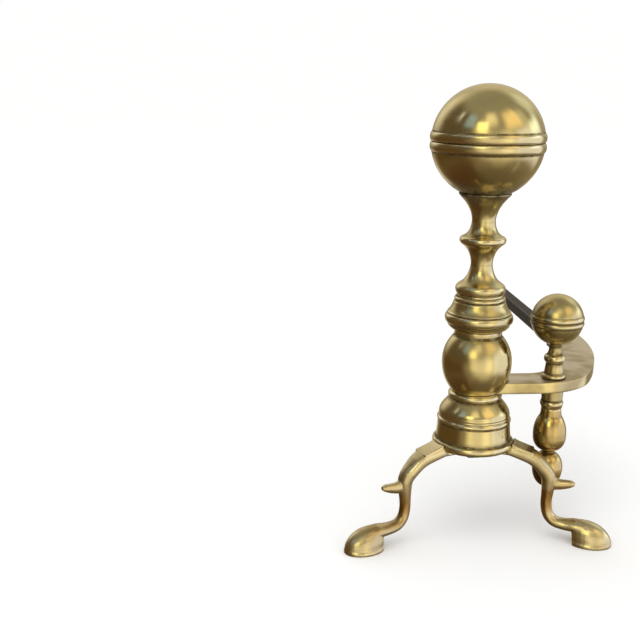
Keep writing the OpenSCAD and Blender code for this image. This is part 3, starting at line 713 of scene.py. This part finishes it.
def lathe(node, line, near, wide, axis, bore=None):
    """A closed turned piece from its outline. bore is the radius and top of a hollow below."""
    sides = bpy.context.scene.andiron_turning.sides
    low_z, high_z = line[0, 1], line[-1, 1]
    # A tip is the point of a cap, not a ring
    first, last = int(line[0, 0] < ON_AXIS), len(line) - int(line[-1, 0] < ON_AXIS)
    rings, near, wide = (row[first:last] for row in (line, near, wide))
    if bore:
        radius, roof = bore
        wall = even_steps(np.array([(radius, roof), (radius, low_z)]), 3.0)
        rings = np.vstack([wall, rings])
        # The bore's wall is darkened as painted shade
        near, wide = (np.concatenate([np.full(len(wall), dark), bends])
                      for dark, bends in zip(BORE_SHADE_BENDS, (near, wide)))
        low_z = roof
    turn = np.arange(sides) * (2 * math.pi / sides)
    spots = np.stack([np.outer(rings[:, 0], np.cos(turn)), np.outer(rings[:, 0], np.sin(turn)),
                      np.repeat(rings[:, 1:2], sides, 1)], 2).reshape(-1, 3)
    count = len(rings)
    spots = np.vstack([spots, [[0, 0, low_z], [0, 0, high_z]]]) * MM
    k = np.arange(sides)
    after = (k + 1) % sides
    band = np.stack([k, after, sides + after, sides + k], 1)
    quads = np.vstack([band + ring * sides for ring in range(count - 1)]).tolist()
    foot, head, top = count * sides, count * sides + 1, (count - 1) * sides
    caps = [(foot, int(b), int(a)) for a, b in zip(k, after)]
    caps += [(head, int(top + a), int(top + b)) for a, b in zip(k, after)]
    mesh = bpy.data.meshes.new("turned_" + node)
    mesh.from_pydata(spots.tolist(), [], quads + caps)
    mesh.validate()
    for key, bends in (("crease", near), ("hollow", wide)):
        store(mesh, key, np.concatenate([np.repeat(bends, sides), [bends[0], bends[-1]]]))
    store(mesh, "seam", joint_dirt_and_shade(node, spots + (*axis, 0.0)))
    smooth_faces(mesh)
    piece = link(mesh.name, mesh)
    piece.location = (*axis, 0.0)
    return piece


def finish_piece(piece, material, slot, *nodes):
    piece.data.materials.clear()
    piece.data.materials.append(material)
    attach(piece, BODY)
    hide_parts(*nodes)
    return piece


def turned_pieces(stack, chosen, axis, material, slot="polished_brass", bore=None):
    """Turns the chosen nodes of a stack."""
    made = stack_outlines(stack, axis)
    for node in chosen:
        piece = lathe(node, *made[node], axis, bore if node == "base_plinth" else None)
        finish_piece(piece, material, slot, node)


def neighbours_mean(spots, edges):
    """Mean of the points that each point is joined to."""
    count = np.bincount(edges.ravel(), minlength=len(spots)).astype(float)
    total = np.zeros_like(spots)
    for axis in range(3):
        for here, there in (edges.T, edges.T[::-1]):
            total[:, axis] += np.bincount(here, spots[there, axis], len(spots))
    return total / np.maximum(count, 1)[:, None]


def eased(spots, edges, passes):
    """Smooths without shrinking."""
    for _ in range(passes):
        for pull in EASE_PULLS:
            spots = spots + pull * (neighbours_mean(spots, edges) - spots)
    return spots


def skinned(name, node, grain, ease):
    """A casting or forging: the node under one fine skin with softened edges."""
    work = bmesh.new()
    work.from_mesh(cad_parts[node].data)
    bmesh.ops.remove_doubles(work, verts=work.verts, dist=1e-6)
    mesh = bpy.data.meshes.new(name)
    work.to_mesh(mesh)
    work.free()
    piece = link(name, mesh)
    skin = piece.modifiers.new("skin", "REMESH")
    skin.mode = "VOXEL"
    skin.voxel_size = grain
    graph = bpy.context.evaluated_depsgraph_get()
    fine = bpy.data.meshes.new_from_object(piece.evaluated_get(graph))
    piece.modifiers.clear()
    piece.data = fine
    bpy.data.meshes.remove(mesh)
    if not fine.vertices:
        raise RuntimeError(name + " has an empty skin")
    edges = read(fine.edges, "vertices", 2, int)
    spots = eased(read(fine.vertices, "co", 3), edges, ease)
    spots = np.clip(spots, *map(np.array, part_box(node)))
    fine.vertices.foreach_set("co", spots.ravel())
    fine.update()
    normal = read(fine.vertices, "normal", 3)
    # How far the skin stands over what smoothing makes of it
    flat = spots
    for key, passes, gain in SKIN_BENDS:
        for _ in range(passes):
            flat = flat + READ_PULL * (neighbours_mean(flat, edges) - flat)
        store(fine, key, ((spots - flat) * normal).sum(1) / MM * gain)
    store(fine, "seam", joint_dirt_and_shade(node, spots))
    fine.shade_smooth()
    return piece


def plan_of(node):
    """Closed outline of a flat node's top face, in millimetres, counter-clockwise."""
    spots, faces = triangles_of(node)
    spots = np.round(spots / MM, 3)
    top = spots[:, 2].max()
    runs = {}
    for face in faces[(spots[faces][:, :, 2] > top - 0.01).all(1)]:
        names = [tuple(spots[k, :2]) for k in face]
        for a, b in zip(names, names[1:] + names[:1]):
            runs[a, b] = True
    after = {a: b for a, b in runs if (b, a) not in runs}
    loops = []
    while after:
        start = min(after)
        loop, here = [start], after.pop(start)
        while here != start:
            loop.append(here)
            here = after.pop(here)
        loops.append(np.array(loop))
    return max(loops, key=lambda loop: np.ptp(loop[:, 0]) * np.ptp(loop[:, 1]))


def smooth_plan(node):
    """The edge of a flat node's plan in even steps, held inside the node's box."""
    plan = plan_of(node)
    legs = np.roll(plan, -1, 0) - plan
    heading = np.arctan2(legs[:, 1], legs[:, 0])
    sharpest = int(turn_between(np.roll(heading, 1), heading).argmax())
    plan = np.roll(plan, -sharpest, 0)
    edge = even_steps(curved_runs(np.vstack([plan, plan[:1]]), BAR_STEP / 3), BAR_STEP)[:-1]
    for _ in range(2):
        edge = 0.25 * np.roll(edge, 1, 0) + 0.5 * edge + 0.25 * np.roll(edge, -1, 0)
    low, high = (np.array(corner)[:2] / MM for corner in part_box(node))
    return np.clip(edge, low, high)


def filed_rim(low, high, bevel):
    """For each ring of the rim, from below, its way inside the edge and its height."""
    arc = [bevel * (1 - math.cos(math.radians(a))) for a in (90, 67.5, 45, 22.5, 0)]
    under = [(inset, low + bevel - bevel * math.sqrt(1 - (1 - inset / bevel) ** 2))
             for inset in arc]
    upright = [(0.0, low + bevel + (high - low - 2 * bevel) * k / BAR_LEVELS)
               for k in range(1, BAR_LEVELS)]
    return under + upright + [(inset, low + high - z) for inset, z in reversed(under)]


def points_within(edge, outward):
    """Points over the flat faces, so that dirt and painted shade can gather round the stem."""
    inner = edge - outward * (BAR_BEVEL + BAR_MARGIN)
    spread = [np.arange(a, b, BAR_GRID) for a, b in zip(edge.min(0), edge.max(0))]
    over = np.stack(np.meshgrid(*spread), -1).reshape(-1, 2)
    nearest = ((over[:, None, :] - inner[None, ::2, :]) ** 2).sum(2).argmin(1) * 2
    return over[((over - inner[nearest]) * outward[nearest]).sum(1) < -BAR_CLEAR]


def filed_bar(name, node):
    """A flat bar with smooth edges from its own plan, its corners filed round."""
    low, high = (corner.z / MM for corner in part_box(node))
    edge = smooth_plan(node)
    sides = len(edge)
    outward = outward_of(np.roll(edge, -1, 0) - np.roll(edge, 1, 0))
    rim = filed_rim(low, high, BAR_BEVEL)
    over = points_within(edge, outward)
    bounds = [(k, (k + 1) % sides) for k in range(sides)]
    flat = [Vector(p) for p in np.vstack([edge - outward * rim[0][0], over])]
    made, _, fills, *_ = delaunay_2d_cdt(flat, bounds, [], 1, 1e-4)
    if len(made) != len(flat):
        raise RuntimeError(name + " has doubled points in its plan")
    rings = [np.column_stack([edge - outward * inset, np.full(sides, z)]) for inset, z in rim]
    filled = [np.column_stack([over, np.full(len(over), z)]) for z in (low, high)]
    spots = np.vstack(rings + filled)
    faces = []
    for row in range(len(rings) - 1):
        a = row * sides
        faces += [(a + k, a + n, a + sides + n, a + sides + k) for k, n in bounds]
    below = len(rings) * sides
    above = below + len(over)
    for face in fills:
        for corners, ring, first in ((face, below - sides, above), (face[::-1], 0, below)):
            faces.append([k + (ring if k < sides else first - sides) for k in corners])
    mesh = bpy.data.meshes.new(name)
    mesh.from_pydata((spots * MM).tolist(), [], faces)
    mesh.validate()
    rubbed = [0.10 if 0 < inset < BAR_BEVEL else 0.0 for inset, _ in rim]
    store(mesh, "crease", np.concatenate([np.repeat(rubbed, sides), np.zeros(2 * len(over))]))
    store(mesh, "hollow", np.zeros(len(spots)))
    store(mesh, "seam", joint_dirt_and_shade(node, spots * MM))
    smooth_faces(mesh)
    return link(name, mesh)


# -------- operators

class ANDIRON_OT_column(bpy.types.Operator):
    """Turns the column from the plinth to the neck"""
    bl_idname = "andiron.column"
    bl_label = "Column"

    def execute(self, context):
        axis = axis_of("base_plinth")
        hollow = rough_outline("base_plinth", axis, outward=False)
        bore = tuple(hollow[hollow[:, 0] > BORE_LEAST].max(0))
        turned_pieces(COLUMN, COLUMN[:-len(BALL)], axis, turned_brass(), bore=bore)
        return {"FINISHED"}


class ANDIRON_OT_ball(bpy.types.Operator):
    """Turns the two halves of the ball, with the beads round their joint"""
    bl_idname = "andiron.ball"
    bl_label = "Ball"

    def execute(self, context):
        turned_pieces(COLUMN, BALL, axis_of("base_plinth"), turned_brass())
        return {"FINISHED"}


class ANDIRON_OT_log_stop(bpy.types.Operator):
    """Turns the log stop's stem and small ball"""
    bl_idname = "andiron.log_stop"
    bl_label = "Log stop"

    def execute(self, context):
        turned_pieces(LOG_STOP, LOG_STOP, axis_of("stop_stem"), stop_brass())
        return {"FINISHED"}


class ANDIRON_OT_drop(bpy.types.Operator):
    """Turns the drop that hangs under the log stop"""
    bl_idname = "andiron.drop"
    bl_label = "Drop"

    def execute(self, context):
        axis = axis_of("stop_stem")
        # The drop's browner brass, with painted shade on the side that faces the column
        brown = make_brass("turned drop brass", "drop", turned=True, shaded_side=toward_column())
        turned_pieces(DROP, ["drop_finial"], axis, brown, "leg_brass")
        turned_pieces(DROP, ["drop_collar"], axis, stop_brass())
        return {"FINISHED"}


class ANDIRON_OT_legs(bpy.types.Operator):
    """Casts the two cabriole legs with their spurs and slipper feet"""
    bl_idname = "andiron.legs"
    bl_label = "Legs"

    def execute(self, context):
        cast = context.scene.andiron_casting
        brass = make_brass("cast brass", "cast", grime_and_shade=0.48, softer=0.08, painted_shanks=True)
        for node in LEGS:
            piece = skinned("cast_" + node, node, cast.grain, cast.ease)
            finish_piece(piece, brass, "leg_brass", node)
        return {"FINISHED"}


class ANDIRON_OT_side_bar(bpy.types.Operator):
    """Makes the flat brass bar that carries the log stop"""
    bl_idname = "andiron.side_bar"
    bl_label = "Side bar"

    def execute(self, context):
        piece = filed_bar("filed_side_bar", "side_bar")
        brass = make_brass("bar brass", "bar", satin=0.24, grime_and_shade=0.7)
        finish_piece(piece, brass, "polished_brass", "side_bar")
        return {"FINISHED"}


class ANDIRON_OT_ironwork(bpy.types.Operator):
    """Forges the billet bar and its rear leg"""
    bl_idname = "andiron.ironwork"
    bl_label = "Ironwork"

    def execute(self, context):
        cast = context.scene.andiron_casting
        for node in FORGED:
            piece = skinned("forged_" + node, node, cast.grain * FORGED_GRAIN, FORGED_EASE)
            finish_piece(piece, forged_iron(), "wrought_iron", node)
        return {"FINISHED"}


class ANDIRON_OT_fastenings(bpy.types.Operator):
    """Gives the rods, nuts, washer and rivets their iron finish"""
    bl_idname = "andiron.fastenings"
    bl_label = "Fastenings"

    def execute(self, context):
        for node in FASTENINGS:
            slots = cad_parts[node].material_slots
            if not slots:
                raise RuntimeError(node + " has no material slot")
            for slot in slots:
                slot.material = forged_iron()
        return {"FINISHED"}


# What the brass reflects of the room. WALLS gives its colour at places from straight down, 0,
# to straight up, 1. SHADES darken it and PANES add light: each has its azimuth, half width,
# elevation, half height and softness in degrees, a colour and a strength. Azimuth 0 is in
# front of the andiron and grows to its right.
WALLS = [
    (0.0, (0.060, 0.036, 0.016)),
    (0.14, (0.13, 0.095, 0.05)),
    (0.26, (0.225, 0.182, 0.118)),
    (0.42, (0.30, 0.25, 0.16)),
    (0.52, (0.33, 0.285, 0.195)),
    (0.74, (0.35, 0.325, 0.26)),
    (1.0, (0.31, 0.295, 0.24)),
]
SHADES = [
    (-92, 50, 26, 27, 10, (0.115, 0.085, 0.050), 0.94),
    (-108, 62, -52, 24, 16, (0.080, 0.036, 0.015), 0.85),
    (-102, 48, -14, 18, 12, (0.100, 0.056, 0.020), 0.94),
    (40, 60, -66, 20, 14, (0.17, 0.135, 0.085), 0.6),
]
PANES = [
    (-28, 12, 30, 10, 4, (1.0, 0.93, 0.40), 1.75),
    (-8, 15, 47, 12, 8, (1.0, 0.86, 0.56), 0.80),
    (46, 20, 42, 15, 8, (1.0, 0.74, 0.33), 0.90),
    (76, 12, 34, 16, 8, (0.95, 0.92, 0.70), 0.30),
    (98, 13, 18, 8, 5, (0.72, 0.90, 0.86), 0.70),
    (121, 15, 37, 14, 9, (0.80, 0.94, 0.92), 0.50),
    (-58, 12, 40, 12, 5, (0.38, 0.64, 1.0), 0.62),
    (-91, 4, 41, 8, 3, (0.80, 0.90, 1.0), 0.90),
    (12, 35, -7, 22, 15, (1.0, 0.93, 0.80), 0.60),
    (-25, 9, 4, 21, 8, (1.0, 0.92, 0.60), 0.48),
    (28, 12, 2, 22, 10, (1.0, 0.93, 0.62), 0.42),
    (82, 36, -1, 23, 7, (0.68, 0.73, 0.94), 0.95),
    (14, 17, -36, 8, 5, (1.0, 0.96, 0.66), 0.12),
    (62, 3, -38, 9, 2, (0.95, 0.93, 0.85), 0.25),
    (-150, 13, 20, 20, 8, (0.90, 0.92, 1.0), 0.30),
    (180, 48, 30, 24, 12, (1.0, 0.93, 0.82), 0.30),
    (172, 24, -24, 12, 5, (1.0, 0.94, 0.92), 0.42),
]


def patch(tree, azimuth, height, turn, half, up, tall, soft, strength):
    """A soft-edged patch of the room, with the given strength inside."""
    away = add_node(tree, "ShaderNodeMath",
                    {0: combine(tree, "SUBTRACT", azimuth, turn), 1: 180.0, 2: -180.0},
                    operation="WRAP").outputs[0]
    side = combine(tree, "ABSOLUTE", away)
    rise = combine(tree, "ABSOLUTE", combine(tree, "SUBTRACT", height, up))
    return times(tree, ramp(tree, side, half - soft, half + soft, strength, 0.0),
                 ramp(tree, rise, tall - soft, tall + soft, 1.0, 0.0))


def room_light(tree):
    """The room that shiny surfaces reflect."""
    spot = add_node(tree, "ShaderNodeTexCoord").outputs["Generated"]
    parts = add_node(tree, "ShaderNodeSeparateXYZ", {0: spot}).outputs
    degrees = 180 / math.pi
    azimuth = times(tree, combine(tree, "ARCTAN2", parts["X"], times(tree, parts["Y"], -1.0)),
                    degrees)
    height = times(tree, combine(tree, "ARCSINE", parts["Z"]), degrees)
    walls = add_node(tree, "ShaderNodeValToRGB",
                     {0: ramp(tree, height, -90.0, 90.0, smooth=False)})
    bands = walls.color_ramp.elements
    bands[0].color, bands[1].color = rgba(WALLS[0][1]), rgba(WALLS[-1][1])
    for place, colour in WALLS[1:-1]:
        bands.new(place).color = rgba(colour)
    light = walls.outputs[0]
    for *bounds, colour, strength in SHADES:
        mask = patch(tree, azimuth, height, *bounds, strength)
        light = blend_colour(tree, mask, light, rgba(colour))
    for *bounds, colour, strength in PANES:
        mask = patch(tree, azimuth, height, *bounds, strength)
        glow = add_node(tree, "ShaderNodeVectorMath", {0: colour, "Scale": mask},
                        operation="SCALE").outputs[0]
        light = add_node(tree, "ShaderNodeVectorMath", {0: light, 1: glow},
                         operation="ADD").outputs[0]
    return light


def from_foot(axis, place):
    """A place that is given from the foot of the column."""
    return Vector((axis[0] + place[0], axis[1] + place[1], place[2]))


def place_world(scene, backdrop):
    """Lights the scene with the plain backdrop, and lets shiny surfaces see the room."""
    world = bpy.data.worlds.new("room")
    scene.world = world
    # Rays alone take light from the world, so that nothing shiny picks up the backdrop
    world.cycles.sampling_method = "NONE"
    world.use_nodes = True
    tree = world.node_tree
    tree.nodes.clear()
    plain = add_node(tree, "ShaderNodeBackground", {"Color": rgba(backdrop)})
    room = add_node(tree, "ShaderNodeBackground", {"Color": room_light(tree)})
    shiny = add_node(tree, "ShaderNodeLightPath").outputs["Is Glossy Ray"]
    mix = add_node(tree, "ShaderNodeMixShader", {0: shiny, 1: plain.outputs[0],
                                                 2: room.outputs[0]})
    add_node(tree, "ShaderNodeOutputWorld", {0: mix.outputs[0]}, is_active_output=True)


def place_floor(axis, colour, radius):
    """Lays a round, plain pale floor under the andiron."""
    work = bmesh.new()
    bmesh.ops.create_circle(work, cap_ends=True, segments=96, radius=radius)
    mesh = bpy.data.meshes.new("floor")
    work.to_mesh(mesh)
    work.free()
    floor = link("floor", mesh)
    floor.location = (*axis, 0.0)
    floor.visible_glossy = False
    material, tree, shader, place = start_material("pale floor")
    tint = blend_colour(tree, noise(tree, place, 3.0, 2.0), rgba(colour),
                        rgba([c * 0.985 for c in colour]))
    tree.links.new(tint, shader.inputs["Base Color"])
    shader.inputs["Roughness"].default_value = 0.9
    shader.inputs["Specular IOR Level"].default_value = 0.1
    mesh.materials.append(material)


def place_lamp(scene, axis, strength):
    """Hangs the soft lamp in front of the andiron, above and to its left."""
    lamp = bpy.data.lights.new("soft lamp", "SUN")
    lamp.angle = math.radians(LAMP_WIDTH)
    lamp.energy = strength
    holder = bpy.data.objects.new("soft lamp", lamp)
    holder.location = from_foot(axis, LAMP_PLACE)
    scene.collection.objects.link(holder)
    aim = from_foot(axis, LAMP_AIM) - holder.location
    holder.rotation_euler = aim.to_track_quat("-Z", "Y").to_euler()
    holder.visible_glossy = False


def place_camera(scene, axis):
    """Puts the camera at the photograph's viewing angle."""
    turn, tilt, roll = (math.radians(angle) for angle in (VIEW_TURN, VIEW_TILT, VIEW_ROLL))
    level = Vector((math.sin(turn), math.cos(turn), 0.0))
    right = Vector((math.cos(turn), -math.sin(turn), 0.0))
    upright = Vector((0.0, 0.0, 1.0))
    ahead = level * math.cos(tilt) - upright * math.sin(tilt)
    up = level * math.sin(tilt) + upright * math.cos(tilt)
    side = right * math.cos(roll) + up * math.sin(roll)
    top = up * math.cos(roll) - right * math.sin(roll)
    lens = bpy.data.cameras.new("camera")
    lens.sensor_width = 36.0
    lens.lens = VIEW_LENS
    lens.clip_start = 0.02
    camera = bpy.data.objects.new("camera", lens)
    scene.collection.objects.link(camera)
    place = Matrix((side, top, -ahead)).transposed().to_4x4()
    place.translation = from_foot(axis, VIEW_PLACE)
    camera.matrix_world = place
    scene.camera = camera


class ANDIRON_OT_stage(bpy.types.Operator):
    """Sets the floor, the light, the room and the camera"""
    bl_idname = "andiron.stage"
    bl_label = "Stage"

    def execute(self, context):
        scene = context.scene
        look = scene.andiron_stage
        axis = axis_of("base_plinth")
        scene.view_settings.view_transform = "Standard"
        place_world(scene, look.backdrop)
        place_floor(axis, look.floor, look.floor_radius)
        place_lamp(scene, axis, look.lamp)
        place_camera(scene, axis)
        return {"FINISHED"}


class ANDIRON_PT_panel(bpy.types.Panel):
    """Lists the andiron's pieces and settings"""
    bl_idname = "ANDIRON_PT_panel"
    bl_label = "Andiron"
    bl_space_type = "VIEW_3D"
    bl_region_type = "UI"
    bl_category = "Andiron"

    def draw(self, context):
        layout = self.layout
        for operator in OPERATORS:
            layout.operator(operator.bl_idname)
        for name, _ in SETTINGS:
            group = getattr(context.scene, name)
            box = layout.box()
            for key in group.bl_rna.properties.keys():
                if key not in ("rna_type", "name"):
                    box.prop(group, key)


SETTINGS = [("andiron_brass", BrassSettings), ("andiron_iron", IronSettings),
            ("andiron_turning", TurningSettings), ("andiron_casting", CastingSettings),
            ("andiron_stage", StageSettings)]
OPERATORS = [ANDIRON_OT_column, ANDIRON_OT_ball, ANDIRON_OT_log_stop, ANDIRON_OT_drop,
             ANDIRON_OT_legs, ANDIRON_OT_side_bar, ANDIRON_OT_ironwork,
             ANDIRON_OT_fastenings, ANDIRON_OT_stage]


def register():
    for name, group in SETTINGS:
        bpy.utils.register_class(group)
        setattr(bpy.types.Scene, name, PointerProperty(type=group))
    for kind in OPERATORS + [ANDIRON_PT_panel]:
        bpy.utils.register_class(kind)


def unregister():
    for kind in reversed(OPERATORS + [ANDIRON_PT_panel]):
        bpy.utils.unregister_class(kind)
    for name, group in reversed(SETTINGS):
        delattr(bpy.types.Scene, name)
        bpy.utils.unregister_class(group)


def main():
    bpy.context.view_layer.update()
    register()
    bpy.ops.andiron.column()
    bpy.ops.andiron.ball()
    bpy.ops.andiron.log_stop()
    bpy.ops.andiron.drop()
    bpy.ops.andiron.legs()
    bpy.ops.andiron.side_bar()
    bpy.ops.andiron.ironwork()
    bpy.ops.andiron.fastenings()
    bpy.ops.andiron.stage()


if __name__ == "__main__":
    main()
